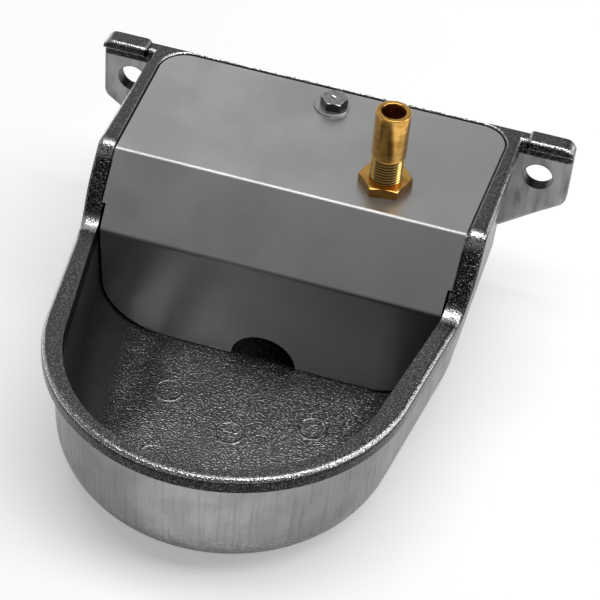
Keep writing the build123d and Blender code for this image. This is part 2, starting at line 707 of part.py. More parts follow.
for name, level in (("float_upper_shell", RISING), ("float_lower_shell", HANGING)):
    with BuildPart() as shell:
        add(float_solid.part)
        add(float_seam.part)
        add(float_core.part, mode=Mode.SUBTRACT)
        with Locations((0, 0, FLOAT_SEAM_Z)):
            Box(2 * FLOAT_L, 2 * FLOAT_W, 2 * ARM_Z, align=level, mode=Mode.INTERSECT)
        if name == "float_upper_shell":
            with Locations((0, 0, ARM_Z)):
                Cylinder(FLOAT_BOSS_R, INSERT_DEPTH + FLOAT_WALL, align=HANGING)
                Hole(radius=INSERT_R, depth=INSERT_DEPTH)
    shell.part.position = (FLOAT_X, STEM_Y, 0)
    keep(shell, name)

# Threaded brass insert in the boss, and the screw and washer that hold the lever on it.
with BuildPart() as float_insert:
    with Locations((FLOAT_X, STEM_Y, ARM_Z)):
        Cylinder(INSERT_R - PLAY, INSERT_DEPTH, align=HANGING)
        Hole(radius=FLOAT_SCREW_R + PLAY, depth=INSERT_DEPTH - 1)
keep(float_insert, "float_insert")

with BuildPart() as float_washer:
    with Locations((FLOAT_X, STEM_Y, ARM_TOP)):
        Cylinder(FLOAT_WASHER_R, FLOAT_WASHER_T, align=RISING)
        Hole(radius=FLOAT_SCREW_R + SCREW_PLAY)
keep(float_washer, "float_washer")

with BuildPart() as float_screw:
    with BuildSketch(Plane.XY.offset(ARM_TOP + FLOAT_WASHER_T)):
        with Locations((FLOAT_X, STEM_Y)):
            RegularPolygon(FLOAT_SCREW_AF / 2, 6, major_radius=False)
    extrude(amount=FLOAT_SCREW_HEAD)
    with Locations((FLOAT_X, STEM_Y, ARM_TOP + FLOAT_WASHER_T)):
        Cylinder(FLOAT_SCREW_R, FLOAT_SCREW_LENGTH, align=HANGING)
keep(float_screw, "float_screw")
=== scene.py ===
import math

import bmesh
import bpy
from mathutils import Matrix, Vector


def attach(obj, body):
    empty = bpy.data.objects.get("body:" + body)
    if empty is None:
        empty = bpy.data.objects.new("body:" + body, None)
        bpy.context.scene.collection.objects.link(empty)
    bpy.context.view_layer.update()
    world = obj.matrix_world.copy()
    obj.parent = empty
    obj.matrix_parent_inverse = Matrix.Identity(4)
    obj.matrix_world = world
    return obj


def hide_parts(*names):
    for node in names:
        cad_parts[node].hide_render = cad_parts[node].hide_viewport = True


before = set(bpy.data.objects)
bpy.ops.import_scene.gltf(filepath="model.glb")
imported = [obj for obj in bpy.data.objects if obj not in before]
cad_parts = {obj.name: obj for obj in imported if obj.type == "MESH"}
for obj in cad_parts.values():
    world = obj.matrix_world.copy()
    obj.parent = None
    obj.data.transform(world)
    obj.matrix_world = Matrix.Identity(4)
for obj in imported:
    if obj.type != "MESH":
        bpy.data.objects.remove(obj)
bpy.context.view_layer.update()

# ---------------------------------------------------------------- view of the bowl
# The bowl stands on its flat base, seen from the front, a little from the right and from
# above, with a long lens and a small turn about the line of sight.
scene = bpy.context.scene
CAMERA_PLACE = Vector((0.15486, -0.58919, 0.61370))
CAMERA_AZIMUTH = math.radians(13.18)
CAMERA_ELEVATION = math.radians(42.54)
CAMERA_ROLL = math.radians(5.489)
CAMERA_LENS_MM = 125.91
CAMERA_SENSOR_MM = 36

bpy.ops.object.camera_add(
    location=CAMERA_PLACE,
    rotation=(math.pi / 2 - CAMERA_ELEVATION, 0, CAMERA_AZIMUTH),
)
camera = bpy.context.object
camera.name = "view_camera"
camera.data.lens = CAMERA_LENS_MM
camera.data.sensor_width = CAMERA_SENSOR_MM
camera.data.sensor_fit = "HORIZONTAL"
camera.rotation_euler.rotate_axis("Z", CAMERA_ROLL)
scene.camera = camera
scene.view_settings.view_transform = "Standard"

# ---------------------------------------------------------------- the casting
# Die-cast aluminium in one piece: basin, float housing, rolled rim and wall ears. The rim is
# left glossy and finely pitted, the outer walls are satin with drag marks from the die, and
# the basin's floor has the coarse grain of the sprayed die and its ejector-pin marks.
CASTING_EDGE = 0.0006
MERGE_GAP = 1e-6
FLAT_ANGLE = math.radians(0.5)
SHARP_ANGLE = math.radians(32)
SMOOTH_ANGLE = math.radians(40)
RIM_FOOT_Z = 0.0586
RIM_TOP_Z = 0.0838
RIM_DEPTH = 0.0066
SLOPE_FOOT_Y = 0.0114
SLOPE_TOP_Y = 0.0340
KINK_REACH = 0.0045
FLOOR_TOP_Z = 0.030
BASE_ROUND_Z = 0.028
BASE_EDGE_Z = 0.006
EAR_FROM_X = 0.080
EAR_HOLE = (0.0898, 0, 0.0668)
EAR_HOLE_R = 0.0062
PIN_MARK_R = 0.0057
PIN_MARKS = (
    (-0.0305, -0.0148, 0),
    (0.0305, -0.0148, 0),
    (0, -0.0288, 0),
    (-0.0244, -0.0513, 0),
    (0.0244, -0.0513, 0),
)
CASTING_RELIEF = 0.0009
CASTING_TONES = {
    "outer_silver": "A4A4A4",
    "outer_dull": "989898",
    "drag_smut": "5E5E5F",
    # painted shade for walls facing left or right
    "side_painted_shade": "3E3E3F",
    "pebble_low": "545455",
    "foot_shade": "2C2C2D",
    # painted shade inside the ears' holes
    "hole_painted_shade": "2C2C2D",
    "basin_dark": "868687",
    "floor_dark": "909091",
    "floor_dimmer": "3C3C3D",
    # floor specks: partly grain, partly painted glints
    "floor_glint_speck": "FAFAFA",
    # pin-mark burr: partly real, partly a painted highlight
    "ring_burr_and_highlight": "C4C4C5",
    "crest_dark": "666667",
    # rim specks: partly grain, partly painted glints
    "crest_glint_speck": "A2A2A2",
    # painted glints on the rim's shoulders and kinks
    "rim_painted_glint": "DCDCDC",
    "slope_dark": "262627",
    # the rim's sides are painted dark as a reflection
    "rim_side_painted_dark": "1E1E1F",
    "side_glint_speck": "606061",
}


def linear(code):
    """sRGB hex colour as linear RGBA."""
    parts = [int(code[i : i + 2], 16) / 255 for i in (0, 2, 4)]
    return [c / 12.92 if c <= 0.04045 else ((c + 0.055) / 1.055) ** 2.4 for c in parts] + [1]


def add_node(tree, kind, inputs=None, **settings):
    """A shader node with its settings; an input is a value or the socket that feeds it."""
    node = tree.nodes.new("ShaderNode" + kind)
    for key, value in settings.items():
        setattr(node, key, value)
    for key, value in (inputs or {}).items():
        if isinstance(value, bpy.types.NodeSocket):
            tree.links.new(value, node.inputs[key])
        else:
            node.inputs[key].default_value = value
    return node.outputs


def new_finish(name, shader_inputs):
    """A material with its shader set, and its tree, shader and coordinates to go on from."""
    finish = bpy.data.materials.new(name)
    finish.use_nodes = True
    tree = finish.node_tree
    shader = tree.nodes["Principled BSDF"]
    for key, value in shader_inputs.items():
        shader.inputs[key].default_value = value
    return finish, tree, shader, add_node(tree, "TexCoord")


def rounded_copy(node, name, edge, segments):
    """A copy of a solid's mesh, merged, with its sharp edges rounded, that stands for it."""
    copy = bpy.data.objects.new(name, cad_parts[node].data.copy())
    scene.collection.objects.link(copy)
    bpy.ops.object.select_all(action="DESELECT")
    copy.select_set(True)
    bpy.context.view_layer.objects.active = copy
    copy.data.materials.clear()
    bpy.ops.mesh.customdata_custom_splitnormals_clear()
    bpy.ops.object.mode_set(mode="EDIT")
    bpy.ops.mesh.select_all(action="SELECT")
    bpy.ops.mesh.remove_doubles(threshold=MERGE_GAP)
    bpy.ops.mesh.dissolve_limited(angle_limit=FLAT_ANGLE)
    bpy.ops.object.mode_set(mode="OBJECT")
    bevel = copy.modifiers.new("edges", "BEVEL")
    bevel.width = edge
    bevel.segments = segments
    bevel.limit_method = "ANGLE"
    bevel.angle_limit = SHARP_ANGLE
    bpy.ops.object.modifier_apply(modifier="edges")
    bpy.ops.object.shade_smooth_by_angle(angle=SMOOTH_ANGLE)
    weights = copy.modifiers.new("shading", "WEIGHTED_NORMAL")
    weights.keep_sharp = True
    weights.weight = 100
    bpy.ops.object.modifier_apply(modifier="shading")
    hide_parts(node)
    return copy


casting = rounded_copy("bowl", "bowl_casting", CASTING_EDGE, 2)

die_cast, tree, shader, coords = new_finish("die_cast_aluminium", {"Metallic": 1.0})
place = coords["Object"]
axes = add_node(tree, "SeparateXYZ", {0: place})
facing = add_node(tree, "SeparateXYZ", {0: coords["Normal"]})

# What the shares below read: the depth under the rim's top, which climbs the slope, the
# distance from the middle, how level the surface lies, and the distances from the rim's
# nearer kink, from the edge of the nearest pin mark and from the middle of an ear's hole.
rim_level = add_node(
    tree, "MapRange", {0: axes["Y"], 1: SLOPE_FOOT_Y, 2: SLOPE_TOP_Y, 3: RIM_FOOT_Z, 4: RIM_TOP_Z}
)[0]
below_rim = add_node(tree, "Math", {0: rim_level, 1: axes["Z"]}, operation="SUBTRACT")[0]
sideways = add_node(tree, "Math", {0: axes["X"]}, operation="ABSOLUTE")[0]
levelness = add_node(tree, "Math", {0: facing["Z"]}, operation="ABSOLUTE")[0]
kink_gap = 1.0
for kink_y in (SLOPE_FOOT_Y, SLOPE_TOP_Y):
    gap = add_node(tree, "Math", {0: axes["Y"], 1: kink_y}, operation="SUBTRACT")[0]
    gap = add_node(tree, "Math", {0: gap}, operation="ABSOLUTE")[0]
    kink_gap = add_node(tree, "Math", {0: kink_gap, 1: gap}, operation="MINIMUM")[0]
plan_place = add_node(tree, "CombineXYZ", {"X": axes["X"], "Y": axes["Y"]})[0]
ring_gap = 1.0
for mark in PIN_MARKS:
    gap = add_node(tree, "VectorMath", {0: plan_place, 1: mark}, operation="DISTANCE")["Value"]
    gap = add_node(tree, "Math", {0: gap, 1: PIN_MARK_R}, operation="SUBTRACT")[0]
    gap = add_node(tree, "Math", {0: gap}, operation="ABSOLUTE")[0]
    ring_gap = add_node(tree, "Math", {0: ring_gap, 1: gap}, operation="MINIMUM")[0]
ear_place = add_node(tree, "CombineXYZ", {"X": sideways, "Z": axes["Z"]})[0]
hole_gap = add_node(tree, "VectorMath", {0: ear_place, 1: EAR_HOLE}, operation="DISTANCE")["Value"]

# Patterns, each with the width of its lumps in mm. The drag marks run 40 mm up the walls and
# the scuffs 17 mm.
drag_place = add_node(tree, "Mapping", {0: place, "Scale": (1, 1, 0.03)})[0]
scuff_place = add_node(tree, "Mapping", {0: place, "Scale": (1, 1, 0.3)})[0]
patterns = {}
for name, where, width_mm, detail, roughness in (
    ("drag", drag_place, 1.2, 2, 0.6),
    ("scuffs", scuff_place, 5, 2, 0.5),
    ("clouds", place, 14, 3, 0.5),
    ("pebbles", place, 1.4, 1, 0.5),
    ("rim_grain", place, 0.6, 1, 0.5),
    ("floor_grain", place, 0.8, 1.5, 0.5),
    ("smudges", place, 26, 2, 0.5),
):
    patterns[name] = add_node(
        tree,
        "TexNoise",
        {"Vector": where, "Scale": 1000 / width_mm, "Detail": detail, "Roughness": roughness},
    )["Fac"]

# Shares: where on the casting a tone, gloss or relief lies, and how strongly. A row has what
# the share reads, the two values between which it changes, and the share at each of them.
SMOOTHLY = {"interpolation_type": "SMOOTHSTEP"}
shares = {"whole": 1.0}
for name, source, low, high, start, end in (
    # outer walls, their pebbled foot, the ears, and painted shade at the sides, foot and ear holes
    ("outside", facing["Z"], 0, 0.012, 1, 0),
    ("wall_relief", facing["Z"], 0, 0.012, 0.35, 0),
    ("clouded", patterns["clouds"], 0.4, 0.6, 0, 1),
    ("ear", sideways, EAR_FROM_X, EAR_FROM_X + 0.003, 0, 1),
    ("dragged", patterns["drag"], 0.48, 0.78, 0, 0.35),
    ("scuffed", patterns["scuffs"], 0.4, 0.7, 0.1, 0.7),
    # painted shade: walls facing left or right are darker, standing for the shadowed floor they
    # mirror
    ("left_painted_shade", facing["X"], -0.5, 0.1, 0.45, 0),
    ("right_painted_shade", facing["X"], 0.2, 0.9, 0, 0.35),
    ("low_wall", axes["Z"], BASE_EDGE_Z, BASE_ROUND_Z, 1, 0),
    ("pebble_tops", patterns["pebbles"], 0.42, 0.62, 0, 0.75),
    ("foot_shade", axes["Z"], BASE_EDGE_Z, BASE_EDGE_Z + 0.014, 0.8, 0),
    # painted shade inside each ear's hole
    ("hole", hole_gap, EAR_HOLE_R + 0.0001, EAR_HOLE_R + 0.0004, 0.9, 0),
    # basin's floor: painted glint specks in clean patches, a smear at the left, darker to the
    # front
    ("low_down", axes["Z"], FLOOR_TOP_Z - 0.012, FLOOR_TOP_Z + 0.002, 1, 0),
    ("level", facing["Z"], 0.75, 0.97, 0, 1),
    ("grain_tops", patterns["floor_grain"], 0.53, 0.70, 0, 1),
    ("clean_patches", patterns["smudges"], 0.36, 0.56, 0.3, 1),
    ("left_floor", axes["X"], -0.044, -0.026, 0.75, 0),
    ("smear_patches", patterns["smudges"], 0.3, 0.6, 1, 0.6),
    # darker towards the front of the floor
    ("front_floor", axes["Y"], -0.072, -0.030, 0.55, 0),
    ("ring_edge", ring_gap, 0.0001, 0.0006, 1, 0),
    ("ring_patches", patterns["clouds"], 0.40, 0.58, 0.35, 1),
    # rim: painted-dark sides, painted glints on specks, shoulders and kinks, a darker slope
    ("rim", below_rim, RIM_DEPTH, RIM_DEPTH + 0.0006, 1, 0),
    ("crest", levelness, 0.3, 0.6, 0, 1),
    ("crest_specks", patterns["rim_grain"], 0.45, 0.75, 0, 1),
    ("side_specks", patterns["rim_grain"], 0.52, 0.72, 0, 1),
    ("off_side", levelness, 0.45, 0.62, 0, 1),
    ("off_crest", levelness, 0.86, 0.97, 1, 0),
    ("before_slope", axes["Y"], SLOPE_FOOT_Y - 0.010, SLOPE_FOOT_Y - 0.004, 1, 0),
    ("past_slope", axes["Y"], SLOPE_TOP_Y + 0.002, SLOPE_TOP_Y + 0.006, 0, 1),
    ("slope_pits", patterns["rim_grain"], 0.45, 0.62, 0.9, 0),
    ("at_kink", kink_gap, 0.4 * KINK_REACH, KINK_REACH, 1, 0),
    ("kink_top", levelness, 0.45, 0.7, 0, 1),
    ("kink_specks", patterns["rim_grain"], 0.30, 0.48, 0, 1),
):
    step = {0: source, 1: low, 2: high, 3: start, 4: end}
    shares[name] = add_node(tree, "MapRange", step, **SMOOTHLY)[0]
for name, operation, first, second in (
    ("foot", "MULTIPLY", "outside", "low_wall"),
    ("pebbles", "MULTIPLY", "foot", "pebble_tops"),
    ("floor", "MULTIPLY", "low_down", "level"),
    ("floor_specks", "MULTIPLY", "grain_tops", "clean_patches"),
    ("smear", "MULTIPLY", "left_floor", "smear_patches"),
    ("dimmed_floor", "MAXIMUM", "smear", "front_floor"),
    ("ring", "MULTIPLY", "ring_edge", "ring_patches"),
    ("ring", "MULTIPLY", "ring", "floor"),
    ("off_slope", "ADD", "before_slope", "past_slope"),
    ("slope", "SUBTRACT", "whole", "off_slope"),
    ("slope_dark", "MULTIPLY", "slope", "slope_pits"),
    ("shoulder", "MULTIPLY", "off_side", "off_crest"),
    ("shoulder", "MULTIPLY", "shoulder", "off_slope"),
    ("kink", "MULTIPLY", "at_kink", "kink_top"),
    ("kink", "MULTIPLY", "kink", "kink_specks"),
    # painted glints on the rim's shoulders and kinks
    ("painted_glint", "MAXIMUM", "shoulder", "kink"),
):
    pair = {0: shares[first], 1: shares[second]}
    shares[name] = add_node(tree, "Math", pair, operation=operation)[0]
streaks = {0: shares["ear"], 2: shares["dragged"], 3: shares["scuffed"]}
shares["streaks"] = add_node(tree, "Mix", streaks)[0]

# Tones: a row lays the last tone over the first by a share. A Mix node's sockets 6 and 7
# are its colours, and 2 and 3 its numbers.
tones = {name: linear(code) for name, code in CASTING_TONES.items()}
for name, under, share, over in (
    ("outer", "outer_dull", "clouded", "outer_silver"),
    ("outer", "outer", "streaks", "drag_smut"),
    # painted shade on the walls facing left and right
    ("outer", "outer", "left_painted_shade", "side_painted_shade"),
    ("outer", "outer", "right_painted_shade", "side_painted_shade"),
    ("outer", "outer", "pebbles", "pebble_low"),
    ("outer", "outer", "foot_shade", "foot_shade"),
    # floor specks: partly grain, partly painted glints
    ("floor", "floor_dark", "floor_specks", "floor_glint_speck"),
    ("floor", "floor", "dimmed_floor", "floor_dimmer"),
    # rim specks: partly grain, partly painted glints
    ("crest", "crest_dark", "crest_specks", "crest_glint_speck"),
    # the rim's sides are painted dark, a painted reflection of dark surroundings
    ("rim", "rim_side_painted_dark", "side_specks", "side_glint_speck"),
    ("rim", "rim", "crest", "crest"),
    ("rim", "rim", "slope_dark", "slope_dark"),
    # painted glints on the rim's shoulders and kinks
    ("rim", "rim", "painted_glint", "rim_painted_glint"),
    ("casting", "basin_dark", "outside", "outer"),
    ("casting", "casting", "floor", "floor"),
    ("casting", "casting", "rim", "rim"),
    # painted shade inside the ears' holes
    ("casting", "casting", "hole", "hole_painted_shade"),
    # the pin marks' burr is painted bright: partly a real burr, partly a painted highlight
    ("casting", "casting", "ring", "ring_burr_and_highlight"),
):
    layer = {0: shares[share], 6: tones[under], 7: tones[over]}
    tones[name] = add_node(tree, "Mix", layer, data_type="RGBA")[2]
tree.links.new(tones["casting"], shader.inputs["Base Color"])

# Gloss: satin walls that the drag marks roughen, and a glossy rim, less so at its kinks.
gloss = add_node(tree, "MapRange", {0: patterns["drag"], 1: 0.3, 2: 0.7, 3: 0.28, 4: 0.40})[0]
rim_gloss = add_node(tree, "Mix", {0: shares["kink"], 2: 0.13, 3: 0.27})[0]
for share, rough in (("rim", rim_gloss), ("floor", 0.28)):
    gloss = add_node(tree, "Mix", {0: shares[share], 2: gloss, 3: rough})[0]
tree.links.new(gloss, shader.inputs["Roughness"])

# Relief: scuffed walls, pebbled foot, grained floor, a pitted rim that is smoother at its
# kinks, and a thin broken burr round each ejector-pin mark.
walls = {0: patterns["scuffs"], 1: shares["wall_relief"]}
height = add_node(tree, "Math", walls, operation="MULTIPLY")[0]
strength = 0.35
rim_strength = add_node(tree, "Mix", {0: shares["kink"], 2: 0.35, 3: 0.16})[0]
for share, pattern, its_strength in (
    ("foot", "pebbles", 0.9),
    ("floor", "floor_grain", 0.55),
    ("rim", "rim_grain", rim_strength),
):
    height = add_node(tree, "Mix", {0: shares[share], 2: height, 3: patterns[pattern]})[0]
    strength = add_node(tree, "Mix", {0: shares[share], 2: strength, 3: its_strength})[0]
height = add_node(tree, "Math", {0: height, 1: shares["ring"]}, operation="ADD")[0]
relief = {"Height": height, "Strength": strength, "Distance": CASTING_RELIEF}
tree.links.new(add_node(tree, "Bump", relief)[0], shader.inputs["Normal"])
casting.data.materials.append(die_cast)
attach(casting, "housing")

# ---------------------------------------------------------------- the cover
# One folded sheet of 1 mm stainless steel, rolled satin and deburred: flat lid, sloping front
# and a baffle with the half-round water passage. It is painted darker to the right as shade,
# painted darkest on the baffle's right as a dark reflection, and rougher where it is bent.
SHEET_EDGE = 0.00018
SHEET_BRIGHT = "E0E0DF"
SHEET_TARNISH = "D0D0D0"
SHEET_SHADED = "BCBCBC"
SHEET_BAFFLE_REFLECTION = "7C7C7C"
ROLL_LINE_MM = 0.4
HAZE_MM = 30
ROLLED_ROUGH = (0.33, 0.38)
BENT_ROUGH = 0.42
ROLL_RELIEF = 0.0002

rolled_sheet, tree, shader, coords = new_finish(
    "rolled_stainless_sheet",
    {"Metallic": 1.0, "Anisotropic": 0.35, "Anisotropic Rotation": 0.25},
)
along_x = add_node(tree, "CombineXYZ", {"X": 1.0})[0]
tree.links.new(along_x, shader.inputs["Tangent"])
across = add_node(tree, "SeparateXYZ", {0: coords["Object"]})["X"]
facing = add_node(tree, "SeparateXYZ", {0: coords["Normal"]})

# Rolling lines run 50 mm across the sheet, drawn 0.4 mm apart, coarser than real, so that
# they show. Faint clouds 30 mm across lie over them.
roll_place = add_node(tree, "Mapping", {0: coords["Object"], "Scale": (0.008, 1, 1)})[0]
roll_lines = add_node(
    tree, "TexNoise", {"Vector": roll_place, "Scale": 1000 / ROLL_LINE_MM, "Detail": 2}
)["Fac"]
haze = add_node(
    tree, "TexNoise", {"Vector": coords["Object"], "Scale": 1000 / HAZE_MM, "Detail": 3}
)["Fac"]
hazed = add_node(tree, "MapRange", {0: haze, 1: 0.35, 2: 0.65}, **SMOOTHLY)[0]
# painted shade: the sheet darkens to the right
to_right = {0: across, 1: -0.06, 2: 0.09, 4: 0.8}
right_shade = add_node(tree, "MapRange", to_right, **SMOOTHLY)[0]
# painted reflection: the baffle darkens towards its right, standing for the darker basin wall it
# mirrors
to_right = {0: across, 1: -0.05, 2: 0.045, 4: 0.75}
baffle_reflection = add_node(tree, "MapRange", to_right, **SMOOTHLY)[0]
to_front = {0: facing["Y"], 1: -0.97, 2: -0.85, 3: 1, 4: 0}
on_baffle = add_node(tree, "MapRange", to_front, **SMOOTHLY)[0]
baffle_reflection = add_node(tree, "Math", {0: baffle_reflection, 1: on_baffle}, operation="MULTIPLY")[0]
sheet_tone = linear(SHEET_BRIGHT)
for share, code in ((hazed, SHEET_TARNISH), (right_shade, SHEET_SHADED), (baffle_reflection, SHEET_BAFFLE_REFLECTION)):
    layer = {0: share, 6: sheet_tone, 7: linear(code)}
    sheet_tone = add_node(tree, "Mix", layer, data_type="RGBA")[2]
tree.links.new(sheet_tone, shader.inputs["Base Color"])

# The bend is what faces between the slope's way and the lid's.
off_slope = add_node(tree, "MapRange", {0: facing["Z"], 1: 0.70, 2: 0.76}, **SMOOTHLY)[0]
to_lid = {0: facing["Z"], 1: 0.97, 2: 0.995, 3: 1, 4: 0}
off_lid = add_node(tree, "MapRange", to_lid, **SMOOTHLY)[0]
on_bend = add_node(tree, "Math", {0: off_slope, 1: off_lid}, operation="MULTIPLY")[0]
gloss = add_node(tree, "Mix", {0: roll_lines, 2: ROLLED_ROUGH[0], 3: ROLLED_ROUGH[1]})[0]
gloss = add_node(tree, "Mix", {0: on_bend, 2: gloss, 3: BENT_ROUGH})[0]
tree.links.new(gloss, shader.inputs["Roughness"])
relief = {"Height": roll_lines, "Strength": 0.03, "Distance": ROLL_RELIEF}
tree.links.new(add_node(tree, "Bump", relief)[0], shader.inputs["Normal"])
cover_sheet = rounded_copy("cover", "cover_sheet", SHEET_EDGE, 2)
cover_sheet.data.materials.append(rolled_sheet)
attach(cover_sheet, "housing")

# ---------------------------------------------------------------- cover bolt and washer
# M6 bolt, cold-headed steel with a dimple in its head and cloudy bright zinc plate; its rounded
# edge has a painted highlight, its sides a painted dark reflection. The washer is the cover's
# steel.
BOLT_EDGE = 0.0006
WASHER_EDGE = 0.0003
ZINC_GREY = "BEBEBE"
ZINC_CLOUD = "9A9A9A"
ZINC_SIDE_REFLECTION = "4A4A4B"
ZINC_HIGHLIGHT = "F0F0F0"
PLATE_CLOUD_MM = 1.6
PLATE_RELIEF = 0.0004

zinc_plate, tree, shader, coords = new_finish(
    "bright_zinc_plate", {"Metallic": 1.0, "Roughness": 0.10}
)
facing = add_node(tree, "SeparateXYZ", {0: coords["Normal"]})
plate_cloud = add_node(
    tree, "TexNoise", {"Vector": coords["Object"], "Scale": 1000 / PLATE_CLOUD_MM, "Detail": 2}
)["Fac"]
clouded = add_node(tree, "MapRange", {0: plate_cloud, 1: 0.4, 2: 0.65}, **SMOOTHLY)[0]
# painted dark reflection on the sides, painted highlight on the rounded edge
to_side = {0: facing["Z"], 1: 0.05, 2: 0.3, 3: 1, 4: 0}
painted_dark_side = add_node(tree, "MapRange", to_side, **SMOOTHLY)[0]
off_side = add_node(tree, "MapRange", {0: facing["Z"], 1: 0.15, 2: 0.4}, **SMOOTHLY)[0]
to_top = {0: facing["Z"], 1: 0.85, 2: 0.99, 3: 1, 4: 0}
off_top = add_node(tree, "MapRange", to_top, **SMOOTHLY)[0]
painted_edge_highlight = add_node(tree, "Math", {0: off_side, 1: off_top}, operation="MULTIPLY")[0]
zinc_tone = linear(ZINC_GREY)
for share, code in ((clouded, ZINC_CLOUD), (painted_dark_side, ZINC_SIDE_REFLECTION), (painted_edge_highlight, ZINC_HIGHLIGHT)):
    layer = {0: share, 6: zinc_tone, 7: linear(code)}
    zinc_tone = add_node(tree, "Mix", layer, data_type="RGBA")[2]
tree.links.new(zinc_tone, shader.inputs["Base Color"])
relief = {"Height": plate_cloud, "Strength": 0.15, "Distance": PLATE_RELIEF}
tree.links.new(add_node(tree, "Bump", relief)[0], shader.inputs["Normal"])
bolt = rounded_copy("cover_bolt", "cover_bolt_head", BOLT_EDGE, 3)
bolt.data.materials.append(zinc_plate)
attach(bolt, "housing")
washer = rounded_copy("cover_bolt_washer", "cover_washer", WASHER_EDGE, 3)
washer.data.materials.append(rolled_sheet)
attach(washer, "housing")

# ---------------------------------------------------------------- the brass inlet
# Turned brass: a plain hose tail with a chamfered mouth, and below it a G1/4 thread, 19 turns
# to the inch, that passes the lock nut and the cover. The thread's grooves are dark with residue
# and painted shade, and the nut's sides are painted darker as shade.
BRASS_GOLD = "EBB964"
BRASS_TAN = "C48F42"
BRASS_SHADE = "7C5420"
BRASS_CREST = "F6CC7E"
BRASS_RESIDUE_AND_SHADE = "4E2E0E"
LATHE_LINE_MM = 0.3
STREAK_MM = 2
LATHE_RELIEF = 0.0002
STEM_X = 0.0348
STEM_Y = 0.052
STEM_SIDES = 96
TAIL_R = 0.0070
TAIL_LOW = 0.0982
TAIL_TOP = 0.1196
BORE_R = 0.00475
MOUTH_EDGE = 0.0007
THREAD_R = 0.00668
THREAD_PITCH = 0.001337
THREAD_DEPTH = 0.000856
THREAD_ROOT = THREAD_R - THREAD_DEPTH
THREAD_LOW = 0.0680
THREAD_STEPS = 64
THREAD_SMOOTH_ANGLE = math.radians(50)
NUT_TOP_Z = 0.0905
NUT_EDGE = 0.0003

# Tool lines run round the stem, drawn 0.3 mm apart, coarser than real, so that they show.
# Faint streaks run the same way, 2 mm high and 5 mm long.
turned_brass, tree, shader, coords = new_finish(
    "turned_brass", {"Metallic": 1.0, "Roughness": 0.24}
)
lathe_place = add_node(tree, "Mapping", {0: coords["Object"], "Scale": (0.02, 0.02, 1)})[0]
lathe_lines = add_node(
    tree, "TexNoise", {"Vector": lathe_place, "Scale": 1000 / LATHE_LINE_MM, "Detail": 2}
)["Fac"]
streak_place = add_node(tree, "Mapping", {0: coords["Object"], "Scale": (0.4, 0.4, 1)})[0]
streaks = add_node(
    tree, "TexNoise", {"Vector": streak_place, "Scale": 1000 / STREAK_MM, "Detail": 3}
)["Fac"]
level = add_node(tree, "SeparateXYZ", {0: coords["Object"]})["Z"]
facing = add_node(tree, "SeparateXYZ", {0: coords["Normal"]})
streaked = add_node(tree, "MapRange", {0: streaks, 1: 0.42, 2: 0.66, 4: 0.8}, **SMOOTHLY)[0]
# painted shade: the nut's sides are darker
below_top = {0: level, 1: NUT_TOP_Z, 2: NUT_TOP_Z + 0.001, 3: 0.7, 4: 0}
on_nut = add_node(tree, "MapRange", below_top, **SMOOTHLY)[0]
to_side = {0: facing["Z"], 1: 0.1, 2: 0.35, 3: 1, 4: 0}
painted_dark_side = add_node(tree, "MapRange", to_side, **SMOOTHLY)[0]
nut_side_shade = add_node(tree, "Math", {0: on_nut, 1: painted_dark_side}, operation="MULTIPLY")[0]
brass_tone = linear(BRASS_GOLD)
for share, code in ((streaked, BRASS_TAN), (nut_side_shade, BRASS_SHADE)):
    layer = {0: share, 6: brass_tone, 7: linear(code)}
    brass_tone = add_node(tree, "Mix", layer, data_type="RGBA")[2]
tree.links.new(brass_tone, shader.inputs["Base Color"])
relief = {"Height": lathe_lines, "Strength": 0.10, "Distance": LATHE_RELIEF}
tree.links.new(add_node(tree, "Bump", relief)[0], shader.inputs["Normal"])

# The thread is bright at its crest and dark at its root, by the distance from the axis.
thread_brass, tree, shader, coords = new_finish(
    "threaded_brass", {"Metallic": 1.0, "Roughness": 0.18}
)
axes = add_node(tree, "SeparateXYZ", {0: coords["Object"]})
plan_place = add_node(tree, "CombineXYZ", {"X": axes["X"], "Y": axes["Y"]})[0]
from_axis = {0: plan_place, 1: (STEM_X, STEM_Y, 0)}
axis_gap = add_node(tree, "VectorMath", from_axis, operation="DISTANCE")["Value"]
# the dark root is partly residue and partly painted shade
groove_low = THREAD_ROOT + 0.2 * THREAD_DEPTH
groove_high = THREAD_ROOT + 0.75 * THREAD_DEPTH
to_root = {0: axis_gap, 1: groove_low, 2: groove_high, 3: 1, 4: 0}
groove_residue_and_shade = add_node(tree, "MapRange", to_root, **SMOOTHLY)[0]
layer = {0: groove_residue_and_shade, 6: linear(BRASS_CREST), 7: linear(BRASS_RESIDUE_AND_SHADE)}
groove_tone = add_node(tree, "Mix", layer, data_type="RGBA")[2]
tree.links.new(groove_tone, shader.inputs["Base Color"])

# One turn of the thread's flank, in shares of its depth and pitch, is wound up by a screw.
PROFILE = [(0, 0), (0.08, 0.12), (0.92, 0.40), (1, 0.50), (0.92, 0.60), (0.08, 0.88), (0, 1)]
flank = bpy.data.meshes.new("inlet_thread")
flank.from_pydata(
    [(THREAD_ROOT + out * THREAD_DEPTH, 0, THREAD_LOW + up * THREAD_PITCH) for out, up in PROFILE],
    [(i, i + 1) for i in range(len(PROFILE) - 1)],
    [],
)
thread = bpy.data.objects.new("inlet_thread", flank)
scene.collection.objects.link(thread)
bpy.ops.object.select_all(action="DESELECT")
thread.select_set(True)
bpy.context.view_layer.objects.active = thread
winding = thread.modifiers.new("winding", "SCREW")
winding.axis = "Z"
winding.angle = 2 * math.pi
winding.screw_offset = THREAD_PITCH
winding.iterations = int((TAIL_LOW - THREAD_LOW) / THREAD_PITCH)
winding.steps = THREAD_STEPS
winding.render_steps = THREAD_STEPS
winding.use_merge_vertices = True
winding.merge_threshold = MERGE_GAP
bpy.ops.object.modifier_apply(modifier="winding")
thread.data.transform(Matrix.Translation((STEM_X, STEM_Y, 0)))
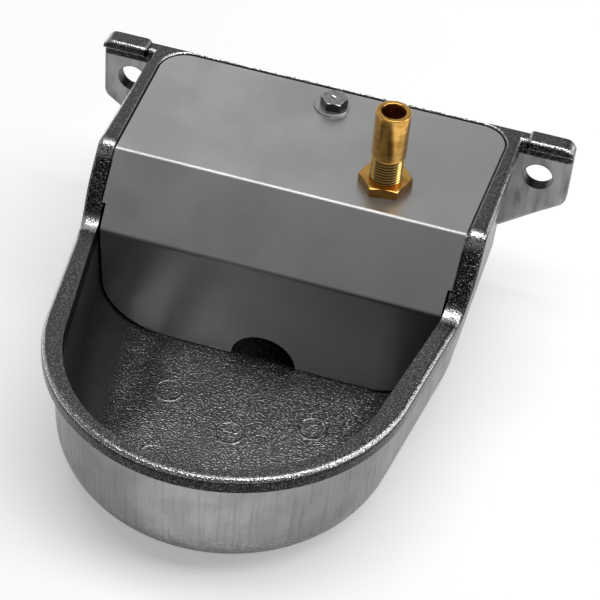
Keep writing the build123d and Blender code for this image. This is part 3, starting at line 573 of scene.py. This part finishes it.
bpy.ops.object.mode_set(mode="EDIT")
bpy.ops.mesh.select_all(action="SELECT")
bpy.ops.mesh.normals_make_consistent(inside=False)
bpy.ops.object.mode_set(mode="OBJECT")
bpy.ops.object.shade_smooth_by_angle(angle=THREAD_SMOOTH_ANGLE)
thread.data.materials.append(thread_brass)
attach(thread, "housing")

# The tail is a tube whose wall starts inside the thread's top.
bpy.ops.mesh.primitive_cylinder_add(
    vertices=STEM_SIDES,
    radius=TAIL_R,
    depth=TAIL_TOP - TAIL_LOW,
    location=(STEM_X, STEM_Y, (TAIL_TOP + TAIL_LOW) / 2),
)
tail = bpy.context.object
tail.name = "inlet_tail"
bpy.ops.object.transform_apply(location=True, rotation=False, scale=False)
bpy.ops.object.mode_set(mode="EDIT")
bpy.ops.mesh.select_all(action="DESELECT")
shape = bmesh.from_edit_mesh(tail.data)
for face in shape.faces:
    face.select = abs(face.normal.z) > 0.9
bmesh.update_edit_mesh(tail.data)
bpy.ops.mesh.inset(thickness=TAIL_R - BORE_R, depth=0)
bpy.ops.mesh.bridge_edge_loops()
bpy.ops.object.mode_set(mode="OBJECT")
softening = tail.modifiers.new("mouth", "BEVEL")
softening.width = MOUTH_EDGE
softening.segments = 4
softening.limit_method = "ANGLE"
softening.angle_limit = SMOOTH_ANGLE
bpy.ops.object.modifier_apply(modifier="mouth")
bpy.ops.object.shade_smooth_by_angle(angle=SMOOTH_ANGLE)
tail.data.materials.append(turned_brass)
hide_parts("inlet_stem")
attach(tail, "housing")

lock_nut = rounded_copy("lock_nut", "lock_nut_brass", NUT_EDGE, 3)
lock_nut.data.materials.append(turned_brass)
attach(lock_nut, "housing")

# ---------------------------------------------------------------- seals
# Black EPDM rubber, moulded: a flat ring under the cover, a ring on the stem and the disc
# that shuts the valve. Matt, with a fine mould grain and a grey bloom.
EPDM_BLACK = "202122"
EPDM_BLOOM = "3A3B3C"
BLOOM_MM = 4
MOULD_GRAIN_MM = 0.3
MOULD_RELIEF = 0.0002


def dress(nodes, finish):
    """Gives solids that stay as they are a finish."""
    for node in nodes:
        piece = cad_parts[node]
        piece.data.materials.clear()
        piece.data.materials.append(finish)


epdm, tree, shader, coords = new_finish("moulded_epdm_rubber", {"Roughness": 0.7})
bloom = add_node(
    tree, "TexNoise", {"Vector": coords["Object"], "Scale": 1000 / BLOOM_MM, "Detail": 2}
)["Fac"]
bloomed = add_node(tree, "MapRange", {0: bloom, 1: 0.4, 2: 0.7}, **SMOOTHLY)[0]
layer = {0: bloomed, 6: linear(EPDM_BLACK), 7: linear(EPDM_BLOOM)}
rubber_tone = add_node(tree, "Mix", layer, data_type="RGBA")[2]
tree.links.new(rubber_tone, shader.inputs["Base Color"])
mould_grain = add_node(
    tree, "TexNoise", {"Vector": coords["Object"], "Scale": 1000 / MOULD_GRAIN_MM, "Detail": 1}
)["Fac"]
relief = {"Height": mould_grain, "Strength": 0.3, "Distance": MOULD_RELIEF}
tree.links.new(add_node(tree, "Bump", relief)[0], shader.inputs["Normal"])
dress(("cover_seal", "stem_seal", "seal_disc"), epdm)

# ---------------------------------------------------------------- valve body
# Forged brass screwed on under the cover, shot-blasted outside: duller and browner than the
# turned stem. The insert moulded into the float is the same.
FORGED_TAN = "B58C4B"
FORGED_BROWN = "8C6A38"
PATINA_MM = 3
SHOT_GRAIN_MM = 0.6
SHOT_RELIEF = 0.0004

forged_brass, tree, shader, coords = new_finish(
    "forged_brass", {"Metallic": 1.0, "Roughness": 0.42}
)
patina = add_node(
    tree, "TexNoise", {"Vector": coords["Object"], "Scale": 1000 / PATINA_MM, "Detail": 3}
)["Fac"]
browned = add_node(tree, "MapRange", {0: patina, 1: 0.35, 2: 0.65}, **SMOOTHLY)[0]
layer = {0: browned, 6: linear(FORGED_TAN), 7: linear(FORGED_BROWN)}
forged_tone = add_node(tree, "Mix", layer, data_type="RGBA")[2]
tree.links.new(forged_tone, shader.inputs["Base Color"])
shot_grain = add_node(
    tree, "TexNoise", {"Vector": coords["Object"], "Scale": 1000 / SHOT_GRAIN_MM, "Detail": 1}
)["Fac"]
relief = {"Height": shot_grain, "Strength": 0.35, "Distance": SHOT_RELIEF}
tree.links.new(add_node(tree, "Bump", relief)[0], shader.inputs["Normal"])
dress(("valve_body", "float_insert"), forged_brass)

# ---------------------------------------------------------------- valve seat and plunger
# Injection-moulded white acetal, hard and waxy, with a fine spark-eroded grain. The seat is
# the nozzle in the valve body, and the plunger slides below it.
ACETAL_PALE = "ECEBE6"
ACETAL_DIM = "DDDCD6"
ACETAL_CLOUD_MM = 6
ACETAL_GRAIN_MM = 0.4
SPARK_RELIEF = 0.0002

acetal, tree, shader, coords = new_finish("white_acetal", {"Roughness": 0.35})
clouds = add_node(
    tree, "TexNoise", {"Vector": coords["Object"], "Scale": 1000 / ACETAL_CLOUD_MM, "Detail": 2}
)["Fac"]
layer = {0: clouds, 6: linear(ACETAL_PALE), 7: linear(ACETAL_DIM)}
acetal_tone = add_node(tree, "Mix", layer, data_type="RGBA")[2]
tree.links.new(acetal_tone, shader.inputs["Base Color"])
spark_grain = add_node(
    tree, "TexNoise", {"Vector": coords["Object"], "Scale": 1000 / ACETAL_GRAIN_MM, "Detail": 1}
)["Fac"]
relief = {"Height": spark_grain, "Strength": 0.08, "Distance": SPARK_RELIEF}
tree.links.new(add_node(tree, "Bump", relief)[0], shader.inputs["Normal"])
dress(("valve_seat", "plunger"), acetal)

# ---------------------------------------------------------------- the float
# Two shells of white polypropylene, injection-moulded and welded at the middle: warmer,
# duller and cloudier than the acetal, with a coarser grain.
FLOAT_PALE = "E2E0D8"
FLOAT_DIM = "CFCDC4"
FLOAT_CLOUD_MM = 18
FLOAT_GRAIN_MM = 0.5

polypropylene, tree, shader, coords = new_finish("white_polypropylene", {"Roughness": 0.45})
clouds = add_node(
    tree, "TexNoise", {"Vector": coords["Object"], "Scale": 1000 / FLOAT_CLOUD_MM, "Detail": 3}
)["Fac"]
layer = {0: clouds, 6: linear(FLOAT_PALE), 7: linear(FLOAT_DIM)}
float_tone = add_node(tree, "Mix", layer, data_type="RGBA")[2]
tree.links.new(float_tone, shader.inputs["Base Color"])
spark_grain = add_node(
    tree, "TexNoise", {"Vector": coords["Object"], "Scale": 1000 / FLOAT_GRAIN_MM, "Detail": 1}
)["Fac"]
relief = {"Height": spark_grain, "Strength": 0.15, "Distance": SPARK_RELIEF}
tree.links.new(add_node(tree, "Bump", relief)[0], shader.inputs["Normal"])
dress(("float_upper_shell", "float_lower_shell"), polypropylene)

# ---------------------------------------------------------------- lever and its small parts
# Stainless steel: the lever is pressed from strip, the pins are drawn wire and bar, the
# screws and nut are turned. One fine grain, drawn out along the lever, does for them all.
DRAWN_PALE = "C9C9C8"
DRAWN_GREY = "A9A9A8"
DRAW_LINE_MM = 0.4
DRAW_RELIEF = 0.0002

drawn_steel, tree, shader, coords = new_finish(
    "drawn_stainless_steel", {"Metallic": 1.0, "Roughness": 0.3}
)
draw_place = add_node(tree, "Mapping", {0: coords["Object"], "Scale": (0.05, 1, 1)})[0]
draw_lines = add_node(
    tree, "TexNoise", {"Vector": draw_place, "Scale": 1000 / DRAW_LINE_MM, "Detail": 2}
)["Fac"]
layer = {0: draw_lines, 6: linear(DRAWN_PALE), 7: linear(DRAWN_GREY)}
drawn_tone = add_node(tree, "Mix", layer, data_type="RGBA")[2]
tree.links.new(drawn_tone, shader.inputs["Base Color"])
relief = {"Height": draw_lines, "Strength": 0.12, "Distance": DRAW_RELIEF}
tree.links.new(add_node(tree, "Bump", relief)[0], shader.inputs["Normal"])
dress(("float_arm", "float_screw", "float_washer"), drawn_steel)
dress(("hinge_pin", "split_pin", "level_screw", "level_nut"), drawn_steel)

# ---------------------------------------------------------------- the floor and the light
# White paper floor under soft boxes: a bright one overhead to the right, a wide dim one
# behind, and one on each side. The world between them is dim, so that the metal has
# something dark to show.
PAPER_WHITE = "F8F8F8"
FLOOR_SIZE = 12
NEAR_FLOOR = 0.22
FAR_FLOOR = 1.2
NEAR_LIFT = 0.36
DIM_SKY = (0.12, 0.12, 0.12, 1)
WHITE = (1, 1, 1, 1)

bpy.ops.mesh.primitive_plane_add(size=FLOOR_SIZE, location=(0, 0, 0))
floor = bpy.context.object
floor.name = "floor"
white_paper, tree, shader, coords = new_finish(
    "white_paper", {"Base Color": linear(PAPER_WHITE), "Roughness": 0.9}
)
floor.data.materials.append(white_paper)

# The floor as it is seen, directly or in the metal, is lifted to white away from the bowl.
ray = add_node(tree, "LightPath")
seen = ray["Is Camera Ray"]
for way in ("Is Glossy Ray", "Is Transmission Ray"):
    seen = add_node(tree, "Math", {0: seen, 1: ray[way]}, operation="MAXIMUM")[0]
far_out = add_node(tree, "VectorMath", {0: coords["Object"]}, operation="LENGTH")["Value"]
outwards = {0: far_out, 1: NEAR_FLOOR, 2: FAR_FLOOR, 3: NEAR_LIFT, 4: 1}
lift = add_node(tree, "MapRange", outwards, **SMOOTHLY)[0]
lift = add_node(tree, "Math", {0: seen, 1: lift}, operation="MULTIPLY")[0]
glow = add_node(tree, "Emission", {"Color": WHITE, "Strength": lift})[0]
paper = add_node(tree, "AddShader", {0: shader.outputs[0], 1: glow})[0]
tree.links.new(paper, tree.nodes["Material Output"].inputs["Surface"])

# The sky is white to the camera and dim to the metal.
world = bpy.data.worlds.new("studio")
world.use_nodes = True
scene.world = world
tree = world.node_tree
ray = add_node(tree, "LightPath")
layer = {0: ray["Is Camera Ray"], 6: DIM_SKY, 7: WHITE}
sky = add_node(tree, "Mix", layer, data_type="RGBA")[2]
tree.links.new(sky, tree.nodes["Background"].inputs["Color"])


def soft_box(name, place, target, width, height, radiance):
    """Area light at a place, facing a target, as bright as a lit panel of that radiance."""
    bpy.ops.object.light_add(type="AREA", location=place)
    lamp = bpy.context.object
    lamp.name = name
    lamp.data.shape = "RECTANGLE"
    lamp.data.size = width
    lamp.data.size_y = height
    lamp.data.energy = radiance * math.pi * width * height
    lamp.rotation_euler = (Vector(target) - Vector(place)).to_track_quat("-Z", "Y").to_euler()
    lamp.visible_camera = False


soft_box("top_box", (0.34, -0.04, 1.25), (0.34, -0.04, 0), 1.7, 0.55, 3.5)
soft_box("back_box", (-0.55, 1.1, 0.95), (0, 0, 0.05), 2.2, 1.1, 0.34)
soft_box("left_box", (-1.2, 0.1, 0.6), (0, 0, 0), 0.5, 0.6, 0.3)
soft_box("right_box", (1.2, 0.3, 0.6), (0, 0, 0), 0.5, 0.6, 2.6)
